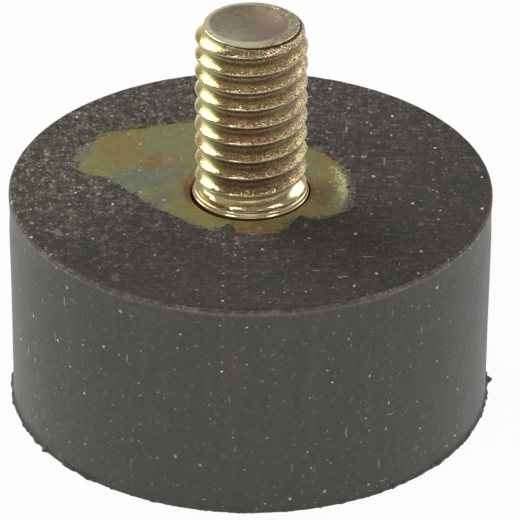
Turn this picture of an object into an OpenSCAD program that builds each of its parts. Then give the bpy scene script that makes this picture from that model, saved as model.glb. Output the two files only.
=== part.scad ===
// Cylindrical rubber buffer with one threaded stud.
// A rubber cylinder is moulded round a steel backing plate and the head of a stud. The plate lies just
// under the top of the rubber, behind a thin skin that has worn off round the stud.
// The base of the rubber stands on Z = 0 and the stud points along +Z. All sizes are in millimetres.

/* [Rubber body] */
// Diameter of the rubber, at its top
body_d = 25; // [18:0.5:50]
// Height of the rubber, without the stud
body_h = 12; // [6:0.5:40]
// How much narrower the base is than the top, so that the mould lets go
draft = 0.2; // [0:0.05:0.5]
// Radius of the moulded edge round the top
top_edge_r = 0.35; // [0.1:0.05:0.8]
// Rubber over the top face of the plate
skin_t = 0.2; // [0.1:0.05:0.6]
// Rubber round the rim of the plate
cover_t = 0.6; // [0.3:0.1:2]

/* [Mould flash] */
// How far the torn flash stands out all round the base
flash_w = 0.1; // [0.05:0.01:0.3]
// Height of the flash above the base
flash_h = 0.35; // [0.2:0.05:0.8]
// How far the ragged tabs of flash stand out past the rest
tab_w = 0.12; // [0.05:0.01:0.3]

/* [Backing plate] */
// Thickness of the plate
plate_t = 1.5; // [1:0.1:3]
// Radius that punching leaves on the plate's upper edges
punch_r = 0.3; // [0.1:0.05:0.5]
// Gap between the stud's shank and the hole in the plate, on the radius
hole_clear = 0.1; // [0.05:0.05:0.3]

/* [Stud] */
// Outside diameter of the thread
thread_d = 5.8; // [4:0.1:8]
// Pitch of the thread, which also sets its depth
pitch = 1; // [0.7:0.05:1.25]
// Length of the stud above the top of the rubber
stud_l = 9.4; // [5:0.1:30]
// Diameter of the plain shank in the plate, at its top
shank_d = 6; // [5:0.1:9]
// How much the shank widens towards the head, on the radius
shank_taper = 0.05; // [0.02:0.01:0.08]
// How far the shoulder of the shank stands above the plate
shoulder_h = 0.15; // [0.05:0.05:0.5]
// Radius on the edge of the shoulder
shoulder_r = 0.12; // [0.02:0.02:0.2]
// Length of the neck between the shoulder and the thread
neck_l = 0.35; // [0.2:0.05:1]
// Depth of the hollow that thread rolling leaves in the end of the stud
dish_h = 0.3; // [0.1:0.05:0.5]
// Width of the rim round that hollow
rim_w = 0.12; // [0.05:0.01:0.3]
// Diameter of the head, under the plate
head_d = 11; // [10:0.5:14]
// Thickness of the head
head_t = 1.5; // [1:0.1:2.4]
// Chamfer on the lower edge of the head
head_chamfer = 0.3; // [0.1:0.05:0.6]

/* [Bare patch] */
// Rubber that stays between the bare patch and the rim of the plate
patch_margin = 1; // [0.3:0.1:3]
// Bare metal that always shows round the mouth of the hole
bare_land = 0.05; // [0.02:0.01:0.5]
// Facets of the patch's outline between two of its points
patch_steps = 3; // [2:1:5]

/* [Hidden] */
$fn = 96;
// Cuts run past the faces that they open by this much
past = 1;

top_r = body_d / 2;
base_r = top_r - draft / 2;
plate_r = top_r - cover_t;
plate_top = body_h - skin_t;
plate_base = plate_top - plate_t;

thread_r = thread_d / 2;
shank_r = shank_d / 2;
head_r = head_d / 2;
hole_r = shank_r + hole_clear;
mouth_r = hole_r + punch_r;

// Basic ISO profile: its depth, and the flats on its crests and in its roots, as shares of the pitch
thread_depth = 0.541 * pitch;
crest_w = pitch / 8;
root_w = pitch / 4;
core_r = thread_r - thread_depth;
// The neck is about as thick as the wire that the thread was rolled on
neck_r = thread_r - thread_depth / 3;
shoulder_top = plate_top + shoulder_h;
neck_top = shoulder_top + neck_l;
// The first root dips below the neck, and the full thread starts above it
thread_base = neck_top + (neck_r - core_r) * tan(30) + root_w;
stud_top = body_h + stud_l;
// The end is chamfered to two thirds of the thread's depth
end_drop = thread_depth * 2 / 3;
end_r = thread_r - end_drop;
dish_r = end_r - rim_w;
// Radius of the ball that cuts the hollow
dish_ball_r = (dish_r * dish_r + dish_h * dish_h) / (2 * dish_h);

// Tabs of flash that tore off long: where each starts and how far round it goes, in degrees
TABS = [[176, 14], [196, 5], [207, 8], [232, 4], [268, 7], [301, 5], [333, 9], [358, 4], [65, 9], [120, 6]];

// Edge of the patch where the skin has worn off the plate, anticlockwise from the right of the stud
PATCH = [
    [5.0, 0.0], [4.8, 1.5], [4.4, 3.0], [3.5, 4.1], [1.5, 5.0], [-1.0, 6.5], [-3.0, 7.2], [-4.5, 6.8],
    [-6.0, 6.4], [-7.5, 5.9], [-8.3, 5.0], [-8.9, 4.5], [-9.0, 3.0], [-8.7, 1.5], [-7.2, 0.9], [-6.0, -0.6],
    [-4.5, -2.3], [-3.0, -3.5], [-2.2, -4.2], [-1.6, -4.1], [-1.0, -3.7], [-0.6, -4.4], [0.4, -4.7],
    [1.5, -4.3], [2.0, -3.3], [2.6, -2.9], [3.4, -3.0], [4.3, -2.6], [5.0, -1.8]
];

// A point on the smooth closed curve through four of its points, between b and c
function curve_point(a, b, c, d, t) =
    0.5 * (2 * b + (c - a) * t + (2 * a - 5 * b + 4 * c - d) * t * t + (3 * b - a - 3 * c + d) * t * t * t);

// The closed curve through all of the points
function smooth_loop(points, steps) =
    let (n = len(points))
    [
        for (i = [0 : n - 1], k = [0 : steps - 1])
            curve_point(points[(i + n - 1) % n], points[i], points[(i + 1) % n], points[(i + 2) % n], k / steps)
    ];

// What is to be cut off a corner at the origin, open towards -X and -Y, to leave it with radius r
module corner_cut(r) {
    difference() {
        translate([-r, -r]) square(r + past);
        translate([-r, -r]) circle(r);
    }
}

// Half section of the rubber, with its draft, its top edge and the flash round its base
module body_section() {
    difference() {
        polygon([[0, 0], [base_r, 0], [top_r, body_h], [0, body_h]]);
        translate([top_r, body_h]) corner_cut(top_edge_r);
    }
    flash_section(flash_w);
}

// Section of the flash: a lip that stands out by w at the base and runs out into the side above it
module flash_section(w) {
    side_r = base_r + draft / 2 * flash_h / body_h;
    polygon([
        [base_r - cover_t, 0], [base_r + w, 0], [base_r + w, flash_h / 3], [side_r, flash_h],
        [base_r - cover_t, flash_h]
    ]);
}

// The ragged tabs of flash
module flash_tabs() {
    for (tab = TABS)
        rotate([0, 0, tab[0]])
            rotate_extrude(angle = tab[1])
                flash_section(flash_w + tab_w);
}

// The plate before its hole is punched, which is also the space that it fills in the rubber
module plate_blank() {
    rotate_extrude()
        difference() {
            translate([0, plate_base]) square([plate_r, plate_t]);
            translate([plate_r, plate_top]) corner_cut(punch_r);
        }
}

// The hole in the plate, with its rolled mouth
module plate_hole() {
    rotate_extrude() {
        translate([0, plate_base - past]) square([hole_r, plate_t + 2 * past]);
        difference() {
            translate([0, plate_top - punch_r]) square([mouth_r, punch_r + past]);
            translate([mouth_r, plate_top - punch_r]) circle(punch_r);
        }
    }
}

// Half section of the stud's head, under the plate
module head_section() {
    polygon([
        [0, plate_base - head_t], [head_r - head_chamfer, plate_base - head_t],
        [head_r, plate_base - head_t + head_chamfer], [head_r, plate_base], [0, plate_base]
    ]);
}

// Half section of the shank through the plate, and of the shoulder that stands out above it
module shank_section() {
    difference() {
        polygon([
            [0, plate_base - head_chamfer], [shank_r + shank_taper, plate_base - head_chamfer],
            [shank_r + shank_taper, plate_base], [shank_r, shoulder_top - shoulder_r],
            [shank_r, shoulder_top], [0, shoulder_top]
        ]);
        translate([shank_r, shoulder_top]) corner_cut(shoulder_r);
    }
}

// One turn of the thread in section, from root to root, starting at height z
function ridge(z) = [
    [core_r, z], [thread_r, z + thread_depth * tan(30)],
    [thread_r, z + thread_depth * tan(30) + crest_w], [core_r, z + pitch - root_w]
];

// Half section of the neck and the thread. Each turn is a ring, without the thread's lead.
module thread_section() {
    turns = ceil((stud_top - thread_base) / pitch);
    intersection() {
        polygon(concat(
            [[0, plate_base], [neck_r, plate_base], [neck_r, neck_top], [core_r, thread_base - root_w]],
            [for (turn = [0 : turns - 1], point = ridge(thread_base + turn * pitch)) point],
            [[0, thread_base + turns * pitch - root_w]]
        ));
        polygon([
            [0, plate_base], [thread_r, plate_base], [thread_r, stud_top - end_drop], [end_r, stud_top],
            [0, stud_top]
        ]);
    }
}

// The hollow in the stud's end, in half section
module dish_section() {
    intersection() {
        translate([0, stud_top + dish_ball_r - dish_h]) circle(dish_ball_r);
        translate([0, stud_top - dish_h - past]) square([dish_r, dish_h + 2 * past]);
    }
}

// Half section of the whole stud
module stud_section() {
    difference() {
        union() {
            head_section();
            shank_section();
            thread_section();
        }
        dish_section();
    }
}

// Outline of the patch where the metal shows: it never reaches the rim of the plate, and it always
// leaves the mouth of the hole clear
module patch_outline() {
    intersection() {
        polygon(smooth_loop(PATCH, patch_steps));
        circle(plate_r - patch_margin);
    }
    circle(mouth_r + bare_land);
}

module rubber_body() {
    color("#45413b")
        difference() {
            union() {
                rotate_extrude() body_section();
                flash_tabs();
            }
            plate_blank();
            rotate_extrude() head_section();
            translate([0, 0, plate_top - past]) linear_extrude(skin_t + 2 * past) patch_outline();
        }
}

module backing_plate() {
    color("#8c8a5e")
        difference() {
            plate_blank();
            plate_hole();
        }
}

module stud() {
    color("#b39a62") rotate_extrude() stud_section();
}

rubber_body();
backing_plate();
stud();
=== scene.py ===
"""Looks of a cylindrical rubber buffer with one threaded stud.

The rubber stands on its base. A steel plate lies just under its top, behind a thin skin of rubber that
has worn off round the stud. Sizes are in millimetres until a piece is finished, and then in metres.
"""
import math

import bmesh
import bpy
import numpy as np
from mathutils import Matrix, Vector, noise


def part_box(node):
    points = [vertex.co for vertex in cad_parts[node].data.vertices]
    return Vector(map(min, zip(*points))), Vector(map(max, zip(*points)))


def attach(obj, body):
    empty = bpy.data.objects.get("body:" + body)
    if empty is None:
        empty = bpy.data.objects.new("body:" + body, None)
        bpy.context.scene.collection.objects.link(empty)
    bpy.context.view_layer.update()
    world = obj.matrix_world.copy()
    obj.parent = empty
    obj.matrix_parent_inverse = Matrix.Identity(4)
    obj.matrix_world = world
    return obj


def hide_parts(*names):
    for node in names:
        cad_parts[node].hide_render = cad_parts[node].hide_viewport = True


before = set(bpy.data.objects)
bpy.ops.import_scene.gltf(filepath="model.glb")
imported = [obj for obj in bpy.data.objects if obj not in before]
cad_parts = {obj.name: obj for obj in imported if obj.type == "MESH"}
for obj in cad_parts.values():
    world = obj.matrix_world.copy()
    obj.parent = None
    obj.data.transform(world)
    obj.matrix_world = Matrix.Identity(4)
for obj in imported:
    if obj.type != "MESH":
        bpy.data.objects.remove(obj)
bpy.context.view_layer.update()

MM = 0.001
FULL_TURN = 2 * math.pi

# ---------------------------------------------------------------- sizes from the frame

rubber_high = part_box("rubber_body")[1] / MM
plate_low, plate_high = [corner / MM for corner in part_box("backing_plate")]
stud_low, stud_high = [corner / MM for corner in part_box("stud")]

BODY_H = rubber_high.z
PLATE_R = plate_high.x
PLATE_TOP = plate_high.z
PLATE_BASE = plate_low.z
HEAD_R = stud_high.x
HEAD_BASE = stud_low.z
STUD_TOP = stud_high.z
SKIN_T = BODY_H - PLATE_TOP

# ---------------------------------------------------------------- sizes that the frame's boxes don't give

# Rubber: radius at the top, how much narrower the base is, the worn edge round the top, and the flash
TOP_R = 12.5
DRAFT = 0.05
TOP_EDGE_R = 0.25
FLASH_H = 0.35
BASE_R = TOP_R - DRAFT
FLAT_R = TOP_R - TOP_EDGE_R
SIDE_TOP = BODY_H - TOP_EDGE_R

# Plate: its hole, and the rounding that the punch left on the upper edges of the hole and the rim
PUNCH_R = 0.3
HOLE_R = 3.1
MOUTH_R = HOLE_R + PUNCH_R
PLATE_FLAT_R = PLATE_R - PUNCH_R

# Stud: head, shank with its shoulder, neck, thread, and an end with a hollow a little off its middle
HEAD_CHAMFER = 0.3
SHANK_R = 3.0
SHOULDER_TOP = PLATE_TOP + 0.2
NECK_R = 2.6
NECK_TOP = SHOULDER_TOP + 0.08
THREAD_R = 2.9
PITCH = 1.0
THREAD_DEPTH = 0.54
# The thread stops a little below the end, and is chamfered there to END_CUT_R
END_CUT = 0.16
END_CUT_R = 2.64
END_R = 2.44
DISH_R = 2.05
DISH_H = 0.3
DISH_X = -0.14
DISH_Y = 0.16

# Distances below this count as none
TOUCH = 0.001

# Edge of the patch where the skin has worn off the plate, anticlockwise from the right of the stud
PATCH = [
    (5.0, 0.0), (4.8, 1.5), (4.4, 3.0), (3.5, 4.1), (1.5, 5.0), (-1.0, 6.5), (-3.0, 7.2), (-4.5, 6.8),
    (-6.0, 6.4), (-7.5, 5.9), (-8.3, 5.0), (-8.9, 4.5), (-9.0, 3.0), (-8.7, 1.5), (-7.2, 0.9), (-6.0, -0.6),
    (-4.5, -2.3), (-3.0, -3.5), (-2.2, -4.2), (-1.6, -4.1), (-1.0, -3.7), (-0.6, -4.4), (0.4, -4.7),
    (1.5, -4.3), (2.0, -3.3), (2.6, -2.9), (3.4, -3.0), (4.3, -2.6), (5.0, -1.8),
]


def smooth_step(low, high, value):
    """0 below low, 1 above high, and an S curve between them."""
    t = np.clip((value - low) / (high - low), 0.0, 1.0)
    return t * t * (3 - 2 * t)


def rough(x, y, z, scale, detail=3):
    """Fractal noise between about -1 and 1, with lumps of about 1 / scale millimetres."""
    return noise.fractal(Vector((x, y, z)) * scale, 1.0, 2.0, detail)


# ---------------------------------------------------------------- outline of the bare patch

def smooth_loop(points, steps):
    """The closed curve through all of the points, as an array of points."""
    loop = np.array(points)
    before, after, beyond = np.roll(loop, 1, 0), np.roll(loop, -1, 0), np.roll(loop, -2, 0)
    rows = []
    for step in range(steps):
        t = step / steps
        rows.append(0.5 * (2 * loop + (after - before) * t
                           + (2 * before - 5 * loop + 4 * after - beyond) * t ** 2
                           + (3 * loop - before - 3 * after + beyond) * t ** 3))
    return np.stack(rows, 1).reshape(-1, 2)


PATCH_LOOP = smooth_loop(PATCH, 6)
PATCH_ANGLES = np.arctan2(PATCH_LOOP[:, 1], PATCH_LOOP[:, 0])
PATCH_RADII = np.hypot(PATCH_LOOP[:, 0], PATCH_LOOP[:, 1])
PATCH_ORDER = np.argsort(PATCH_ANGLES)
FAR_OFF = 9.0


def patch_radius(angle):
    """How far the bare patch reaches from the stud's axis in that direction."""
    reach = np.interp(angle, PATCH_ANGLES[PATCH_ORDER], PATCH_RADII[PATCH_ORDER], period=FULL_TURN)
    return max(float(reach), MOUTH_R + 0.05)


def patch_distances(bm):
    """Distance of each vertex to the patch's edge, in millimetres: positive where the metal shows, and
    -FAR_OFF on all that is below the plate's top."""
    distances = np.full(len(bm.verts), -FAR_OFF)
    runs = np.roll(PATCH_LOOP, -1, 0) - PATCH_LOOP
    lengths = (runs * runs).sum(1)
    for i, vert in enumerate(bm.verts):
        if vert.co.z < PLATE_TOP - 0.35:
            continue
        offsets = np.array(vert.co[:2]) - PATCH_LOOP
        along = np.clip((offsets * runs).sum(1) / lengths, 0.0, 1.0)
        misses = offsets - along[:, None] * runs
        gap = math.sqrt((misses * misses).sum(1).min())
        r, angle = polar(vert)
        distances[i] = gap if r < patch_radius(angle) else -gap
    return distances


# ---------------------------------------------------------------- making meshes

def arc(centre_r, centre_z, radius, start, end, steps):
    """Points of an arc in a half section, as (radius, height). Angles are in degrees."""
    angles = [math.radians(start + (end - start) * i / steps) for i in range(steps + 1)]
    return [(centre_r + radius * math.cos(a), centre_z + radius * math.sin(a)) for a in angles]


def line(start, end, steps):
    """Points from start towards end, without the end itself."""
    return [tuple(a + (b - a) * i / steps for a, b in zip(start, end)) for i in range(steps)]


def revolve(section, steps, closed):
    """A bmesh that turns a half section, a list of (radius, height), round the Z axis."""
    bm = bmesh.new()
    verts = [bm.verts.new((r, 0.0, z)) for r, z in section]
    edges = [bm.edges.new(pair) for pair in zip(verts, verts[1:])]
    if closed:
        edges.append(bm.edges.new((verts[-1], verts[0])))
    bmesh.ops.spin(bm, geom=verts + edges, axis=(0, 0, 1), cent=(0, 0, 0), dvec=(0, 0, 0),
                   angle=FULL_TURN, steps=steps, use_merge=True, use_normal_flip=False, use_duplicate=False)
    bmesh.ops.remove_doubles(bm, verts=bm.verts, dist=0.0005)
    return bm


def polar(vert):
    """Distance from the Z axis, and the direction from it."""
    return math.hypot(vert.co.x, vert.co.y), math.atan2(vert.co.y, vert.co.x)


def halve_rings(bm):
    """Doubles the number of sides of a revolved shape."""
    def runs_round(edge):
        a, b = edge.verts
        return abs(a.co.z - b.co.z) < 1e-4 and abs(polar(a)[0] - polar(b)[0]) < 1e-4

    bmesh.ops.subdivide_edges(bm, edges=[e for e in bm.edges if runs_round(e)], cuts=1)


def place(vert, radius, angle, height):
    """Moves a vertex to a distance from the Z axis, a direction and a height."""
    vert.co = (radius * math.cos(angle), radius * math.sin(angle), height)


def finish_piece(bm, name, node, sharp_angle, attributes=None):
    """Turns the bmesh into a piece that stands for a CAD node. attributes is {name: array over vertices}."""
    bmesh.ops.recalc_face_normals(bm, faces=bm.faces)
    for face in bm.faces:
        face.smooth = True
    for edge in bm.edges:
        edge.smooth = edge.calc_face_angle(0.0) < math.radians(sharp_angle)
    bmesh.ops.scale(bm, vec=(MM, MM, MM), verts=bm.verts)
    mesh = bpy.data.meshes.new(name)
    bm.to_mesh(mesh)
    bm.free()
    for key, values in (attributes or {}).items():
        attribute = mesh.attributes.new(key, "FLOAT", "POINT")
        attribute.data.foreach_set("value", np.asarray(values, dtype=np.float32))
    piece = bpy.data.objects.new(name, mesh)
    bpy.context.scene.collection.objects.link(piece)
    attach(piece, "root")
    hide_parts(node)
    return piece


# ---------------------------------------------------------------- rubber

RUBBER_SIDES = 320
# Radius of the bare patch in the half section, before it takes its real outline
PATCH_SECTION_R = 6.0
# The skin thins out to nothing over this distance from the patch
FEATHER_W = 0.45
# Rows of faces across the skin and up the flash
SKIN_ROWS = 44
FLASH_ROWS = 10
FLASH_ROW_H = 0.04
# The side is drawn in a little at this height
WAIST_Z = BODY_H - 1.3
# Long tabs of flash: direction in degrees, half width in degrees, and how far they stand out
FLASH_TABS = [
    (1.5, 1.1, 0.28), (30, 2, 0.1), (65, 4, 0.1), (95, 1.5, 0.15), (120, 3, 0.12), (150, 2, 0.12),
    (189, 3.5, 0.08), (200.5, 1.5, 0.08), (208.5, 1.2, 0.14), (212.5, 1, 0.22), (222, 2.5, 0.12),
    (228, 1.5, 0.12), (247, 1.2, 0.08), (268, 3, 0.05), (301, 2.5, 0.06), (333, 4, 0.05),
]
# Torn crumbs of rubber at the edge of the hole: centre, radius and height
CRUMBS = [(-1.0, -4.1, 0.42, 0.14), (2.45, -3.05, 0.6, 0.12)]


def rubber_section():
    """Half section of the rubber, from the middle of its base round the outside, under the skin and down
    round the plate and the stud's head to the axis."""
    rim = arc(FLAT_R, SIDE_TOP, TOP_EDGE_R, 0, 90, 8)
    top_rows = [(PATCH_SECTION_R + (FLAT_R - PATCH_SECTION_R) * (1 - i / SKIN_ROWS) ** 1.5, BODY_H)
                for i in range(1, SKIN_ROWS + 1)]
    flash_rows = [(BASE_R, FLASH_ROW_H * i) for i in range(FLASH_ROWS)]
    side_rows = line((BASE_R, 0.42), (TOP_R, SIDE_TOP), 26)
    plate_rim = arc(PLATE_FLAT_R, PLATE_TOP - PUNCH_R, PUNCH_R, 90, 0, 4)
    return (line((0, 0), (BASE_R, 0), 12) + flash_rows + side_rows + rim + top_rows
            + line((PATCH_SECTION_R, PLATE_TOP), (PLATE_FLAT_R, PLATE_TOP), 12) + plate_rim
            + line((PLATE_R, PLATE_BASE), (HEAD_R, PLATE_BASE), 4)
            + [(HEAD_R, PLATE_BASE), (HEAD_R, HEAD_BASE + HEAD_CHAMFER), (HEAD_R - HEAD_CHAMFER, HEAD_BASE)]
            + [(HEAD_R / 2, HEAD_BASE), (0, HEAD_BASE)])


def flash_reach(angle):
    """How far the torn flash stands out of the side at that angle."""
    x, y = math.cos(angle), math.sin(angle)
    teeth = max(0.0, rough(x, y, 0.3, 22, 4)) * 0.11 + max(0.0, rough(x, y, 1.7, 60, 2) - 0.15) * 0.12
    for direction, half_width, reach in FLASH_TABS:
        off = abs((math.degrees(angle) - direction + 180) % 360 - 180) / half_width
        if off < 1:
            teeth += reach * (1 - off ** 2) * (0.75 + 0.5 * rough(x, y, 5.1, 45, 2))
    return teeth + 0.10 * x ** 4


def shape_rubber(bm):
    """Gives the turned rubber its worn patch, its thin skin, its torn flash and the waves of its side."""
    for vert in bm.verts:
        r, angle = polar(vert)
        z = vert.co.z
        x, y = vert.co.x, vert.co.y
        on_side = r > BASE_R - 10 * TOUCH
        if z > PLATE_TOP - TOUCH and PATCH_SECTION_R - TOUCH < r < FLAT_R + TOUCH:
            # The skin and the rubber on the plate start at the edge of the patch
            tear = 0.16 * rough(math.cos(angle) * 6, math.sin(angle) * 6, 3.0, 1.6, 6)
            reach = max(patch_radius(angle) + tear, MOUTH_R + 0.03)
            outer = FLAT_R if z > PLATE_TOP + TOUCH else PLATE_FLAT_R
            share = (r - PATCH_SECTION_R) / (outer - PATCH_SECTION_R)
            place(vert, reach + (outer - reach) * min(share, 1.0), angle, z)
        elif on_side and z < FLASH_H + 0.05:
            fade = 1 - smooth_step(0.35, 1.0, z / (FLASH_H * (0.75 + 0.5 * rough(x, y, 9.0, 1.1, 2))))
            place(vert, r + flash_reach(angle) * float(fade), angle, z)
        elif on_side and z < SIDE_TOP:
            waist = -0.04 * math.exp(-((z - WAIST_Z) / 0.7) ** 2)
            place(vert, r + waist + 0.02 * rough(x, y, z, 0.25, 2), angle, z)
        elif r > FLAT_R and z > SIDE_TOP:
            wear = 0.006 * rough(x, y, z, 1.6, 3)
            place(vert, r + wear, angle, z + wear)


def thin_skin(bm):
    """Lets the skin run out to nothing at the patch and gives it lumps. Returns the distances to the
    patch's edge."""
    distances = patch_distances(bm)
    for vert, distance in zip(bm.verts, distances):
        r, _ = polar(vert)
        if vert.co.z > PLATE_TOP + SKIN_T / 2 and r < FLAT_R + TOUCH:
            x, y = vert.co.x, vert.co.y
            cover = float(smooth_step(-0.03, FEATHER_W, -distance + 0.30 * rough(x, y, 0.5, 3.0, 4)))
            lumps = 0.014 * rough(x, y, 0.0, 1.5, 4) + 0.02 * rough(x, y, 4.0, 0.35, 2)
            crumbs = sum(height * math.exp(-((x - cx) ** 2 + (y - cy) ** 2) / size ** 2)
                         for cx, cy, size, height in CRUMBS)
            vert.co.z = PLATE_TOP + 0.01 + (SKIN_T - 0.01 + lumps + crumbs) * cover
    return distances


def build_rubber():
    """The moulded rubber, with its skin over the plate."""
    bm = revolve(rubber_section(), RUBBER_SIDES, False)
    halve_rings(bm)
    shape_rubber(bm)
    return finish_piece(bm, "rubber_moulding", "rubber_body", 40, {"patch_distance": thin_skin(bm)})


# ---------------------------------------------------------------- plate

PLATE_SIDES = 256
# The stud stands a little to the right in its hole
HOLE_SHIFT = 0.18


def plate_section():
    """Closed half section of the punched plate."""
    mouth = arc(MOUTH_R, PLATE_TOP - PUNCH_R, PUNCH_R, 180, 90, 6)
    rim = arc(PLATE_FLAT_R, PLATE_TOP - PUNCH_R, PUNCH_R, 90, 0, 5)
    top = line((MOUTH_R + 0.1, PLATE_TOP), (PLATE_FLAT_R, PLATE_TOP), 56)
    return [(HOLE_R, PLATE_BASE)] + mouth + top + rim + [(PLATE_R, PLATE_BASE)]


def build_plate():
    """The punched plate, with the mouth of its hole a little off centre."""
    bm = revolve(plate_section(), PLATE_SIDES, True)
    for vert in bm.verts:
        r, _ = polar(vert)
        in_mouth = smooth_step(HOLE_R, HOLE_R + 0.2, r) * (1 - smooth_step(MOUTH_R, MOUTH_R + 0.6, r))
        vert.co.x -= HOLE_SHIFT * float(in_mouth)
    return finish_piece(bm, "punched_plate", "backing_plate", 35,
                        {"patch_distance": patch_distances(bm)})


# ---------------------------------------------------------------- stud

THREAD_SIDES = 144
# Height of a thread's crest on the +X side, above a whole number of turns from the top of the rubber
THREAD_PHASE = 0.23
# Half of one turn of the thread from the crest to the root: (share of the pitch, share of the depth)
TOOTH = [(0.0, 0.0), (0.025, 0.005), (0.05, 0.04), (0.08, 0.11), (0.17, 0.37), (0.26, 0.63), (0.35, 0.88),
         (0.41, 0.98), (0.5, 1.0)]


def thread_section(first, turns):
    """Edge of the thread in a half section, over a number of turns from the root at height first."""
    down = [(-share, depth) for share, depth in reversed(TOOTH[1:-1])]
    tooth = [(-0.5, 1.0)] + down + list(TOOTH[:-1])
    rows = [(THREAD_R - THREAD_DEPTH * depth, first + PITCH * (turn + 0.5 + share))
            for turn in range(turns) for share, depth in tooth]
    return rows + [(THREAD_R - THREAD_DEPTH, first + PITCH * turns)]


def wind_thread():
    """A bmesh tube with the thread's ridge wound round it."""
    turns = 13
    first = BODY_H + THREAD_PHASE - 2.5 * PITCH
    bm = bmesh.new()
    verts = [bm.verts.new((r, 0.0, z)) for r, z in thread_section(first, turns)]
    edges = [bm.edges.new(pair) for pair in zip(verts, verts[1:])]
    bmesh.ops.spin(bm, geom=verts + edges, axis=(0, 0, 1), cent=(0, 0, 0),
                   dvec=(0, 0, PITCH / THREAD_SIDES), angle=FULL_TURN, steps=THREAD_SIDES,
                   use_merge=False, use_normal_flip=False, use_duplicate=False)
    bmesh.ops.remove_doubles(bm, verts=bm.verts, dist=0.0005)
    return bm


def cut_level(bm, height, upper):
    """Cuts off what is above or below a height, and returns the edges of the opening."""
    result = bmesh.ops.bisect_plane(bm, geom=bm.verts[:] + bm.edges[:] + bm.faces[:], dist=0.0001,
                                    plane_co=(0, 0, height), plane_no=(0, 0, 1),
                                    clear_outer=upper, clear_inner=not upper)
    return [e for e in result["geom_cut"] if isinstance(e, bmesh.types.BMEdge)]


def extend(bm, rim_edges, radius, height, inward_only=False):
    """Adds one ring of faces from an open rim to a circle, and returns the new rim's edges. With
    inward_only, what is inside the circle keeps its radius."""
    result = bmesh.ops.extrude_edge_only(bm, edges=rim_edges)
    for vert in [g for g in result["geom"] if isinstance(g, bmesh.types.BMVert)]:
        r, angle = polar(vert)
        place(vert, min(r, radius) if inward_only else radius, angle, height)
    return [g for g in result["geom"] if isinstance(g, bmesh.types.BMEdge) and g.is_boundary]


def wear_thread(bm):
    """Runs the thread out at its foot, chamfers its end and nicks its crests."""
    for vert in bm.verts:
        r, angle = polar(vert)
        z = vert.co.z
        x, y = vert.co.x, vert.co.y
        crest = smooth_step(THREAD_R - 0.2, THREAD_R, r)
        r -= float(crest) * (0.03 * max(0.0, rough(x, y, z, 2.2, 3)) + 0.012)
        r += 0.008 * rough(x, y, z, 3.0, 2)
        full = float(smooth_step(NECK_TOP - 0.3, NECK_TOP + 0.15, z))
        r = NECK_R + (r - NECK_R) * full
        r = min(r, END_CUT_R + 0.9 * (STUD_TOP - END_CUT - z))
        place(vert, r, angle, z)


def close_end(bm, rim):
    """The rolled end: a burr over the last groove, a sloping rim, and a hollow a little off its middle."""
    rings = [(2.58, 0.13), (2.41, 0.11), (2.39, 0.06), (END_R, 0.02), (END_R - 0.03, 0.0)]
    rings += [(END_R - (END_R - DISH_R) * i / 4, 0.005 * i * i / 4) for i in range(1, 5)]
    rings += [(DISH_R * (1 - i / 9), 0.02 + (DISH_H - 0.02) * (1 - (1 - i / 9) ** 1.8)) for i in range(1, 10)]
    for number, (radius, depth) in enumerate(rings):
        rim = extend(bm, rim, radius, STUD_TOP - depth, inward_only=number == 0)
    for vert in bm.verts:
        if vert.co.z > STUD_TOP - DISH_H - TOUCH:
            off_middle = float(1 - smooth_step(DISH_R - 0.1, END_R - 0.02, polar(vert)[0]))
            vert.co.x += DISH_X * off_middle
            vert.co.y += DISH_Y * off_middle


def close_foot(bm, rim):
    """The neck, the collar with its two edges, the shank through the plate and the head under it."""
    neck = [(NECK_R + 0.12, NECK_TOP - 0.03), (NECK_R, NECK_TOP - 0.05), (NECK_R + 0.10, SHOULDER_TOP + 0.01)]
    collar = [(2.84, 0.20), (2.90, 0.185), (2.94, 0.145), (2.945, 0.06), (2.955, 0.03), (2.98, 0.015),
              (SHANK_R + 0.01, -0.01), (SHANK_R + 0.02, -0.04), (SHANK_R, -0.09)]
    shank = [(SHANK_R, PLATE_TOP - 0.5), (SHANK_R, PLATE_BASE)]
    head = [(HEAD_R, PLATE_BASE), (HEAD_R, HEAD_BASE + HEAD_CHAMFER), (HEAD_R - HEAD_CHAMFER, HEAD_BASE),
            (0, HEAD_BASE)]
    for radius, height in neck + [(r, PLATE_TOP + up) for r, up in collar] + shank + head:
        rim = extend(bm, rim, radius, height)


def build_stud():
    """The stud: a wound thread, cut to length, worn, and closed at both ends."""
    bm = wind_thread()
    top_rim = cut_level(bm, STUD_TOP - END_CUT, True)
    foot_rim = cut_level(bm, NECK_TOP, False)
    wear_thread(bm)
    close_end(bm, top_rim)
    close_foot(bm, foot_rim)
    bmesh.ops.remove_doubles(bm, verts=bm.verts, dist=0.0005)
    return finish_piece(bm, "threaded_stud", "stud", 50)


# ---------------------------------------------------------------- finishes

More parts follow.
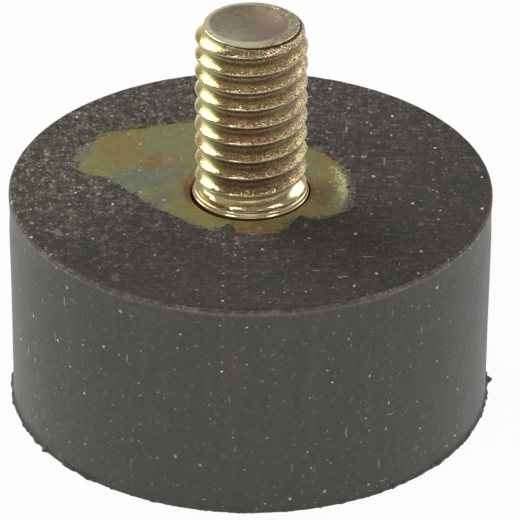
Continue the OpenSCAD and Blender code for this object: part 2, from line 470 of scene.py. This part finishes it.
class Wire:
    """A value in a node tree. Arithmetic on it adds the nodes that work it out."""

    def __init__(self, nodes, socket):
        self.nodes = nodes
        self.socket = socket

    def maths(self, operation, *values):
        return self.nodes.node("ShaderNodeMath", {"operation": operation}, dict(enumerate(values)))

    def __add__(self, other):
        return self.maths("ADD", self, other)

    def __radd__(self, other):
        return self.maths("ADD", other, self)

    def __sub__(self, other):
        return self.maths("SUBTRACT", self, other)

    def __rsub__(self, other):
        return self.maths("SUBTRACT", other, self)

    def __mul__(self, other):
        return self.maths("MULTIPLY", self, other)

    def __rmul__(self, other):
        return self.maths("MULTIPLY", other, self)

    def __truediv__(self, other):
        return self.maths("DIVIDE", self, other)

    def __rtruediv__(self, other):
        return self.maths("DIVIDE", other, self)

    def __pow__(self, other):
        return self.maths("POWER", self, other)

    def at_most(self, other):
        return self.maths("MINIMUM", self, other)

    def at_least(self, other):
        return self.maths("MAXIMUM", self, other)

    def above(self, other):
        return self.maths("GREATER_THAN", self, other)

    def fraction(self):
        return self.maths("FRACT", self)


    def other(self, output):
        """Another output of the node that this value comes from."""
        return Wire(self.nodes, self.socket.node.outputs[output])

    def between(self, low, high):
        """0 where the value is below low, 1 where it is above high, and smooth between them."""
        return self.nodes.node("ShaderNodeMapRange", {"interpolation_type": "SMOOTHSTEP"},
                               {"Value": self, "From Min": low, "From Max": high})


class Nodes:
    """A node tree under construction, of a material or of the world."""

    def __init__(self, owner):
        owner.use_nodes = True
        self.tree = owner.node_tree
        self.tree.nodes.clear()

    def node(self, kind, settings=None, inputs=None, output=0):
        """Adds a node, with its settings first and then its inputs' values or links."""
        node = self.tree.nodes.new(kind)
        for key, value in (settings or {}).items():
            if key == "stops":
                set_stops(node.color_ramp, value)
            else:
                setattr(node, key, value)
        for key, value in (inputs or {}).items():
            if isinstance(value, Wire):
                self.tree.links.new(value.socket, node.inputs[key])
            else:
                node.inputs[key].default_value = value
        return Wire(self, node.outputs[output]) if len(node.outputs) else node


class Finish(Nodes):
    """A material under construction. Its coordinates are in millimetres."""

    def __init__(self, name):
        self.material = bpy.data.materials.new(name)
        super().__init__(self.material)
        self.coords = self.scaled(self.node("ShaderNodeTexCoord", output="Object"), (1 / MM,) * 3)
        self.x = self.node("ShaderNodeSeparateXYZ", {}, {"Vector": self.coords})
        self.y = self.x.other("Y")
        self.z = self.x.other("Z")
        self.radius = (self.x * self.x + self.y * self.y) ** 0.5

    def scaled(self, vector, scale, turn=(0, 0, 0)):
        return self.node("ShaderNodeMapping", {"vector_type": "POINT"},
                         {"Vector": vector, "Scale": scale, "Rotation": turn})

    def vector(self, x, y, z=0.0):
        return self.node("ShaderNodeCombineXYZ", {}, {0: x, 1: y, 2: z})

    def blend(self, factor, first, second):
        """Between two vectors."""
        return self.node("ShaderNodeMix", {"data_type": "VECTOR"}, {0: factor, 4: first, 5: second}, output=1)

    def mix(self, factor, first, second):
        """Between two colours."""
        return self.node("ShaderNodeMix", {"data_type": "RGBA"},
                         {0: factor, 6: as_colour(first), 7: as_colour(second)}, output=2)

    def coated(self, colour, coats):
        """A colour with coats over it, each an amount and a colour from 0 to 255."""
        for amount, coat in coats:
            colour = self.mix(amount, colour, srgb(*coat))
        return colour

    def clouds(self, scale, detail=3.0, roughness=0.5, coords=None, distortion=0.0):
        """Noise with lumps of about 1 / scale millimetres."""
        return self.node("ShaderNodeTexNoise", {"noise_dimensions": "3D"},
                         {"Vector": coords or self.coords, "Scale": scale, "Detail": detail,
                          "Roughness": roughness, "Distortion": distortion})

    def specks(self, coords, spacing, radius, share):
        """Dots on a share of the places, with their spacing and radius in millimetres. Each has its own
        size and strength."""
        near = self.node("ShaderNodeTexVoronoi", {"feature": "F1", "voronoi_dimensions": "2D"},
                         {"Vector": coords, "Scale": 1 / spacing, "Randomness": 1.0}, output="Distance")
        lot = self.node("ShaderNodeSeparateColor", {}, {"Color": near.other("Color")})
        reach = (0.4 + 0.6 * lot.other("Green")) * (radius / spacing)
        return (1 - near / reach).between(0.0, 0.6) * lot.above(1 - share) * (0.3 + 0.7 * lot.other("Blue"))

    def stain(self, x, y, width, depth, ragged):
        """1 inside an ellipse on the XY plane, with a ragged edge."""
        across, along = (self.x - x) / width, (self.y - y) / depth
        return 1 - ((across * across + along * along) ** 0.5 + ragged).between(0.5, 1.3)

    def grain(self, spacing, tilt):
        """A normal that tips at random from one grain of the surface to the next, for glitter."""
        cells = self.node("ShaderNodeTexVoronoi", {"feature": "F1"},
                          {"Vector": self.coords, "Scale": 1 / spacing, "Randomness": 1.0}, output="Color")
        centred = self.node("ShaderNodeVectorMath", {"operation": "SUBTRACT"}, {0: cells, 1: (0.5, 0.5, 0.5)})
        tipped = self.node("ShaderNodeVectorMath", {"operation": "SCALE"}, {0: centred, "Scale": tilt})
        plain = self.node("ShaderNodeNewGeometry", output="Normal")
        both = self.node("ShaderNodeVectorMath", {"operation": "ADD"}, {0: plain, 1: tipped})
        return self.node("ShaderNodeVectorMath", {"operation": "NORMALIZE"}, {0: both})

    def attribute(self, name):
        return self.node("ShaderNodeAttribute", {"attribute_type": "GEOMETRY", "attribute_name": name},
                         output="Fac")

    def bump(self, height, depth, strength, under=None):
        """A normal from a height between 0 and 1 that stands for depth millimetres."""
        inputs = {"Height": height, "Distance": depth * MM, "Strength": strength}
        if under:
            inputs["Normal"] = under
        return self.node("ShaderNodeBump", {}, inputs)

    def surface(self, **inputs):
        """The shader itself. Underscores in the names stand for spaces."""
        named = {key.replace("_", " "): value for key, value in inputs.items()}
        shader = self.node("ShaderNodeBsdfPrincipled", {}, named)
        self.node("ShaderNodeOutputMaterial", {}, {"Surface": shader})
        return self.material


def set_stops(ramp, stops):
    """Gives a colour ramp its stops, each a position and a linear colour."""
    while len(ramp.elements) < len(stops):
        ramp.elements.new(1.0)
    for element, (position, colour) in zip(ramp.elements, stops):
        element.position = position
        element.color = (*colour, 1.0)


def as_colour(value):
    """What a colour socket takes: a link, or a colour with its alpha."""
    return value if isinstance(value, Wire) else (*value, 1.0)


def srgb(red, green, blue):
    """A colour as it is seen, from 0 to 255, as the linear values that Blender takes."""
    return tuple(((c / 255 + 0.055) / 1.055) ** 2.4 for c in (red, green, blue))


# What lies less than this below the top of the rubber is dressed as its top
TOP_BAND = 0.2


def bare_rubber(f, on_top, drift, streaks):
    """Colour of the rubber under its dust, and the height of its grain. The side is paler and smoother
    than the top, with faint pale streaks that are partly mould marks and partly a painted sheen."""
    grain = f.clouds(3.2, 5, 0.8)
    top = f.coated(f.mix(drift.between(0.4, 0.62), srgb(58, 51, 48), srgb(52, 50, 41)), [
        (grain.between(0.5, 0.66) * 0.7, (96, 88, 76)),
        ((1 - grain).between(0.52, 0.64) * 0.7, (38, 35, 33)),
    ])
    side = f.coated(f.mix(drift.between(0.38, 0.66), srgb(69, 67, 58), srgb(73, 69, 64)), [
        (grain.between(0.5, 0.7) * 0.35, (108, 102, 90)),
        ((1 - grain).between(0.5, 0.62) * 0.35, (62, 58, 53)),
        # pale streaks: mould marks, and partly a painted sheen
        (streaks.between(0.45, 0.75) * 0.15, (106, 100, 90)),
    ])
    return f.mix(on_top, side, top), grain


def dusty_rubber(f):
    """Colour and height of the rubber, on its top and round its side."""
    on_top = f.z.above(BODY_H - TOP_BAND)
    around = f.x.maths("ARCTAN2", f.x, 0 - f.y) * TOP_R
    skin = f.blend(on_top, f.vector(around, f.z, 40.0), f.vector(f.x, f.y * 0.7))
    warped = f.node("ShaderNodeVectorMath", {"operation": "ADD"},
                    {0: skin, 1: f.scaled(f.clouds(6.0, 2).other("Color"), (0.22, 0.22, 0.0))})
    drift = f.clouds(0.5, 4, 0.6)
    streaks = f.clouds(1.0, 3, 0.6, coords=f.scaled(f.coords, (1.1, 1.1, 0.09)))
    colour, grain = bare_rubber(f, on_top, drift, streaks)
    # Dust lies in drifts, thickest on the left of the top, and in small clumps
    drifts = f.clouds(0.8, 6, 0.8)
    heavy = (drifts - 0.48 - f.x * 0.014 + f.y * 0.026).between(-0.12, 0.14) * (0.8 - f.x * 0.04)
    heavy = heavy + f.stain(-0.6, -5.2, 2.4, 0.9, drift - 0.5) * 0.5
    heavy = heavy * on_top + (1 - on_top) * 0.10
    clumps = f.clouds(2.2, 4, 0.75, coords=skin)
    haze = clumps.between(0.42, 0.66) * heavy
    fine = f.specks(warped, 0.23, 0.11, 0.5) * heavy * clumps.between(0.40, 0.54)
    medium = f.specks(warped, 0.5, 0.15, 0.5) * (0.2 + 0.8 * heavy) * clumps.between(0.46, 0.56)
    coarse = f.specks(warped, 1.1, 0.10, 0.35) + f.specks(warped, 0.6, 0.055, 0.3) * 0.6
    points = f.specks(warped, 0.3, 0.05, 0.5) * (0.15 + 0.85 * heavy) * on_top
    fibres = (f.specks(f.scaled(warped, (3.6, 0.5, 1.0), (0, 0, 0.5)), 2.2, 0.22, 0.12)
              + f.specks(f.scaled(warped, (0.5, 3.6, 1.0), (0, 0, -0.3)), 2.2, 0.20, 0.12))
    smudges = f.specks(warped, 3.0, 0.42, 0.28) * on_top * clumps.between(0.44, 0.60)
    # The worn edge round the top
    edge = f.z.between(BODY_H - 0.48, BODY_H - 0.22) * (1 - f.z.between(BODY_H - 0.08, BODY_H - 0.02))
    scuffs = f.clouds(3.0, 6, 0.9).between(0.44, 0.62) * (0.4 + 0.6 * drifts.between(0.42, 0.56))
    # Fine scratches across the top
    scratches = sum(f.specks(f.scaled(f.vector(f.x, f.y), (0.14, 5.0, 1.0), (0, 0, turn)), 0.6, 0.22, share)
                    for turn, share in ((-0.33, 0.14), (0.15, 0.07), (0.75, 0.12)))
    colour = f.coated(colour, [
        (haze * 0.5, (128, 119, 101)),
        (fine * 0.8, (160, 151, 132)),
        (points * 0.8, (226, 220, 204)),
        (medium * 0.9, (192, 186, 168)),
        (coarse, (240, 237, 228)),
        (smudges * 0.8, (186, 178, 156)),
        (fibres.at_most(1.0) * 0.6, (200, 194, 176)),
        (edge * (0.15 + 0.85 * scuffs) * 0.8, (160, 154, 138)),
        (scratches.at_most(1.0) * on_top * clumps.between(0.42, 0.56) * 0.45, (150, 142, 126)),
    ])
    return colour, grain * 0.8 + fine * 0.4 + medium * 0.5 + coarse * 0.6 + streaks * (1 - on_top) * 0.2


GOLD = (160, 138, 76)
OLIVE = (155, 145, 86)
GREEN = (148, 149, 98)
AMBER = (158, 118, 70)
SLATE = (126, 136, 118)
MAUVE = (142, 132, 116)
ROSE = (142, 108, 70)
# Colours of the zinc on the bare patch: middle, half width, half depth and colour
STAINS = [
    (-4.6, 5.4, 2.2, 1.6, GREEN), (-6.9, 4.6, 1.3, 1.7, GOLD), (-7.4, 2.7, 1.3, 0.9, OLIVE),
    (-5.1, 2.8, 0.7, 0.8, AMBER), (-5.7, 0.9, 1.4, 1.5, SLATE), (-4.6, -1.2, 0.8, 1.0, SLATE),
    (-4.0, 1.6, 0.6, 1.1, MAUVE), (-8.6, 4.1, 0.4, 0.9, SLATE), (-3.4, -2.6, 1.1, 1.3, OLIVE),
    (3.9, 2.9, 0.9, 0.8, GOLD), (3.8, -0.6, 0.7, 1.6, ROSE), (4.5, -1.4, 0.6, 0.9, GREEN),
    (5.0, -1.5, 0.3, 0.6, SLATE), (0.5, -4.3, 1.6, 0.5, AMBER),
]


def stained_zinc(f):
    """Colour and height of the plate's yellow zinc, with its rainbow stains."""
    warp = f.clouds(0.9, 4, 0.6) - 0.5
    colour = f.mix(f.clouds(0.6, 3, 0.6).between(0.4, 0.6), srgb(*OLIVE), srgb(*GREEN))
    colour = f.coated(colour, [(f.stain(x, y, width, depth, warp * 1.6) * 0.85, stain)
                               for x, y, width, depth, stain in STAINS])
    fleck = f.clouds(2.6, 5, 0.75)
    flat = f.vector(f.x, f.y * 0.7)
    bits = (f.specks(flat, 0.7, 0.12, 0.35) + f.specks(flat, 0.3, 0.06, 0.25) * 0.6).at_most(1.0)
    # Brown in the mouth of the hole, a little wider on its left: a tone of the zinc there, and partly a
    # painted glow of light in the shaded gap round the stud.
    inside = 1 - (f.radius + f.x * 0.03).between(MOUTH_R - 0.10, MOUTH_R + 0.02)
    colour = f.coated(colour, [
        (fleck.between(0.5, 0.72) * 0.4, (186, 178, 124)),
        ((1 - fleck).between(0.52, 0.7) * 0.4, (100, 92, 58)),
        (bits * 0.7, (226, 220, 184)),
        # painted glow in the hole's mouth, over a brown tone of the zinc
        (inside * 0.9, (150, 106, 58)),
    ])
    return colour, fleck * 0.5 + bits * 0.5


def patch_finish(name):
    """Zinc inside the worn patch and rubber outside it, with ragged shreds of skin between the two. The
    plate and the rubber both wear it."""
    f = Finish(name)
    shreds = (f.clouds(1.6, 5, 0.8) - 0.5) * 1.6 + (f.clouds(8.0, 3, 0.8) - 0.5) * 1.8
    inward = f.attribute("patch_distance") + shreds
    film = 1 - inward.between(-0.12, 0.12)
    zinc, zinc_height = stained_zinc(f)
    # A pale lip of bare metal along the right edge of the patch
    lip = f.stain(4.5, 0.6, 0.9, 1.7, shreds) * (1 - inward.between(0.25, 0.4))
    zinc = f.mix(lip, zinc, srgb(236, 228, 180))
    rubber, rubber_height = dusty_rubber(f)
    side = 1 - f.z.above(BODY_H - TOP_BAND)
    rubber_roughness = 0.66 - 0.28 * side + 0.12 * f.clouds(1.2)
    height = film * (0.6 + rubber_height) + (1 - film) * zinc_height
    return f.surface(Base_Color=f.mix(film, zinc, rubber), Metallic=0.45 * (1 - film),
                     Roughness=rubber_roughness * film + 0.42 * (1 - film), Normal=f.bump(height, 0.05, 0.6))


def end_coats(f, rim, right, ragged):
    """Coats on the stud's end: a pale rim that is a painted highlight, brightest on its left, with dark
    chips, most of them on its right, and painted shade along the burr under it."""
    # Band along the burr, where painted shade goes
    burr = (f.z.between(STUD_TOP - 0.135, STUD_TOP - 0.12)
            * (1 - f.z.between(STUD_TOP - 0.09, STUD_TOP - 0.06))
            * f.radius.between(END_R - 0.2, END_R - 0.1))
    return [
        # painted highlight on the rim, brightest on its left
        (rim * (0.95 - 0.4 * right), (250, 242, 204)),
        (rim * (1 - ragged.between(-0.10, -0.03)) * (0.3 + 0.6 * right), (104, 84, 60)),
        # painted shade along the burr, where the groove under it lies in shadow
        (burr * 0.9, (84, 66, 48)),
    ]


def stud_finish():
    """Worn yellow zinc with painted shade and some grime under the crests of the thread, painted highlights
    on its crests, its left side and its foot, and a polish at its foot.
    """
    f = Finish("yellow_zinc_stud")
    tint = f.clouds(0.6, 3, 0.6, distortion=0.8)
    blotch = f.clouds(3.2, 6, 0.8)
    flecks = f.clouds(9.0, 4, 0.85)
    ragged = f.clouds(7.0, 4, 0.85) - 0.5
    # The foot has a polish, and its paler colour is a painted highlight; the right side is dull
    polish_and_highlight = 1 - f.z.between(NECK_TOP + 0.5, NECK_TOP + 0.9)
    dull = f.x.between(-1.6, 0.8) * (1 - polish_and_highlight)
    threaded = (f.z.between(NECK_TOP + 0.3, NECK_TOP + 0.7)
                * (1 - f.z.between(STUD_TOP - 0.2, STUD_TOP - END_CUT))
                * f.radius.between(DISH_R + 0.15, DISH_R + 0.22))
    # How far each point is below the crest over it, in turns of the thread, with ragged edges
    below = ((BODY_H + THREAD_PHASE - f.z) / PITCH + f.y.maths("ARCTAN2", f.y, f.x) / FULL_TURN).fraction()
    # Painted shade under each crest, where the groove lies in the crest's shadow, with some grime that also
    # makes the metal rougher and less metallic there.
    painted_shade_and_grime = ((below + ragged * 0.2).between(0.34, 0.58)
            * (1 - (below + ragged * 0.3).between(0.64, 0.86)) * threaded)
    # Painted highlight along each crest of the thread: a pale band at the crest's edge.
    just_below = 1 - (below - ragged * 0.3).between(0.03, 0.10)
    crest = just_below.at_least((below + ragged * 0.3).between(0.91, 0.97))
    # The left of the stud, where the key light falls, is painted paler and yellower: a painted highlight.
    left = 1 - f.x.between(-2.4, -1.2)
    # The middle of the front gets the deepest painted shade in the grooves.
    middle = f.x.between(-2.4, -1.4) * (1 - f.x.between(0.4, 1.8))
    right = f.x.between(-0.6, 1.6)
    # The face of the end is olive on its left and mauve on its right
    at_end = f.z.between(STUD_TOP - 0.4, STUD_TOP - 0.38) * (1 - f.radius.between(END_R - 0.1, END_R))
    across = f.x - DISH_X
    along = f.y - DISH_Y
    hollow = (across * across + along * along) ** 0.5
    face = at_end * (1 - (hollow + ragged * 0.2).between(DISH_R - 0.10, DISH_R + 0.04))
    rim = f.z.between(STUD_TOP - 0.13, STUD_TOP - 0.10) * (1 - face)
    face_tone = f.mix((f.x + tint * 2 - 1).between(-1.2, 1.2), srgb(204, 197, 162), srgb(178, 148, 128))
    face_colour = f.coated(face_tone, [
        (blotch.between(0.50, 0.64) * 0.6, (128, 108, 90)),
        ((1 - flecks).between(0.54, 0.62) * 0.6, (236, 226, 196)),
    ])
    zinc = f.node("ShaderNodeValToRGB", {"stops": [
        (0.30, srgb(194, 188, 130)), (0.42, srgb(210, 190, 134)), (0.50, srgb(206, 174, 128)),
        (0.58, srgb(206, 167, 136)), (0.70, srgb(196, 190, 130))]}, {"Fac": tint})
    thread_colour = f.coated(zinc, [
        (blotch.between(0.5, 0.66) * 0.5, (138, 112, 70)),
        (flecks.between(0.50, 0.58) * 0.7, (104, 84, 62)),
        ((1 - flecks).between(0.52, 0.60) * 0.45, (250, 240, 205)),
        # painted highlight on the crests
        (crest * threaded * 0.35, (232, 226, 200)),
        # painted shade in the grooves, deepest in the middle, with some grime
        (painted_shade_and_grime * (0.42 + 0.34 * middle), (72, 52, 44)),
        # painted highlight on the lit left side
        (left * 0.45, (226, 218, 136)),
        # painted highlight on the foot and collar, over their polish
        (polish_and_highlight * 0.85, (246, 232, 188)),
    ])
    colour = f.coated(f.mix(face, thread_colour, face_colour), end_coats(f, rim, right, ragged))
    rubbed = f.clouds(1.6, 4, 0.7).between(0.4, 0.62)
    glitter = f.grain(0.07, (0.07 + (0.12 + 0.34 * rubbed) * dull) * (1 - face) * (1 - 0.7 * polish_and_highlight))
    height = (f.clouds(11.0, 2, 0.8) * 0.5 + blotch * 0.8) * (0.35 + 0.65 * dull)
    gloss = 0.04 + 0.10 * blotch * (1 - polish_and_highlight) + 0.08 * dull + 0.3 * painted_shade_and_grime + 0.07 * polish_and_highlight + 0.14 * face
    metal = 0.95 - 0.35 * painted_shade_and_grime - (0.4 - 0.3 * right) * rim
    return f.surface(Base_Color=colour, Metallic=metal, Roughness=gloss,
                     Normal=f.bump(height, 0.035, 0.6, glitter))


# ---------------------------------------------------------------- floor, light and camera

def build_floor():
    """The sheet of paper that the buffer stands on."""
    bm = bmesh.new()
    bmesh.ops.create_grid(bm, x_segments=2, y_segments=2, size=1.5)
    mesh = bpy.data.meshes.new("floor")
    bm.to_mesh(mesh)
    bm.free()
    floor = bpy.data.objects.new("floor", mesh)
    bpy.context.scene.collection.objects.link(floor)
    floor.data.materials.append(floor_finish())


def floor_finish():
    """White paper: plain white as far as the camera and shiny surfaces see, and softly shaded."""
    f = Finish("white_paper")
    seen = f.node("ShaderNodeLightPath", output="Is Camera Ray")
    direct = seen.at_least(seen.other("Is Glossy Ray")).at_least(seen.other("Is Transmission Ray"))
    lit = f.node("ShaderNodeBsdfDiffuse", {}, {"Color": (0.9, 0.9, 0.9, 1.0)})
    plain = f.node("ShaderNodeEmission", {}, {"Color": (1.0, 1.0, 1.0, 1.0), "Strength": 1.0})
    both = f.node("ShaderNodeMixShader", {}, {0: direct * 0.95, 1: lit, 2: plain})
    f.node("ShaderNodeOutputMaterial", {}, {"Surface": both})
    return f.material


def area_light(name, direction, distance, size, strength):
    """A square soft box in that direction from the object, facing it. strength is its radiance, where 1 is
    white."""
    data = bpy.data.lights.new(name, "AREA")
    data.shape = "SQUARE"
    data.size = size
    data.energy = strength * math.pi * size * size
    lamp = bpy.data.objects.new(name, data)
    way = Vector(direction).normalized()
    lamp.matrix_world = Matrix.Translation(way * distance) @ way.to_track_quat("Z", "Y").to_matrix().to_4x4()
    bpy.context.scene.collection.objects.link(lamp)


def build_light():
    """A grey room, darker towards the ceiling, with five soft boxes."""
    world = bpy.data.worlds.new("studio")
    bpy.context.scene.world = world
    sky = Nodes(world)
    direction = sky.node("ShaderNodeTexCoord", output="Generated")
    height = sky.node("ShaderNodeSeparateXYZ", {}, {"Vector": direction}, output="Z")
    greys = [(0.0, (0.7,) * 3), (0.15, (0.42,) * 3), (0.45, (0.32,) * 3), (0.8, (0.22,) * 3)]
    colour = sky.node("ShaderNodeValToRGB", {"stops": greys}, {"Fac": height})
    background = sky.node("ShaderNodeBackground", {}, {"Color": colour})
    sky.node("ShaderNodeOutputWorld", {}, {"Surface": background})
    area_light("key_softbox", (-0.53, 0.50, 0.66), 0.45, 0.24, 4.6)
    area_light("back_right_softbox", (0.55, 0.52, 0.60), 0.5, 0.24, 2.0)
    area_light("front_left_softbox", (-0.45, -0.36, 0.81), 0.6, 0.10, 10.0)
    area_light("front_right_softbox", (0.50, -0.33, 0.80), 0.6, 0.10, 10.0)
    area_light("front_fill", (-0.1, -0.9, 0.45), 0.7, 0.45, 0.5)


CAMERA_ELEVATION = 29.67
CAMERA_DISTANCE = 0.25
# Small turns from looking straight at the middle of the rubber's top, in degrees
CAMERA_YAW, CAMERA_PITCH, CAMERA_ROLL = -0.115, -0.880, -0.33
LENS_PIXELS = 4841.0
FRAME_PIXELS = 520
SENSOR_MM = 36.0


def build_camera():
    """A long lens in front of the buffer, looking down at the middle of the rubber's top."""
    data = bpy.data.cameras.new("camera")
    data.sensor_width = SENSOR_MM
    data.lens = LENS_PIXELS / FRAME_PIXELS * SENSOR_MM
    data.clip_start = 0.01
    camera = bpy.data.objects.new("camera", data)
    elevation = math.radians(CAMERA_ELEVATION)
    place_at = Vector((0, -CAMERA_DISTANCE * math.cos(elevation),
                       BODY_H * MM + CAMERA_DISTANCE * math.sin(elevation)))
    camera.matrix_world = (Matrix.Translation(place_at)
                           @ Matrix.Rotation(math.pi / 2 - elevation, 4, "X")
                           @ Matrix.Rotation(math.radians(CAMERA_YAW), 4, "Y")
                           @ Matrix.Rotation(math.radians(CAMERA_PITCH), 4, "X")
                           @ Matrix.Rotation(-math.radians(CAMERA_ROLL), 4, "Z"))
    bpy.context.scene.collection.objects.link(camera)
    bpy.context.scene.camera = camera


bpy.context.scene.view_settings.view_transform = "Standard"
build_camera()
build_floor()
build_light()
build_rubber().data.materials.append(patch_finish("dusty_black_rubber"))
build_plate().data.materials.append(patch_finish("yellow_zinc_plate"))
build_stud().data.materials.append(stud_finish())
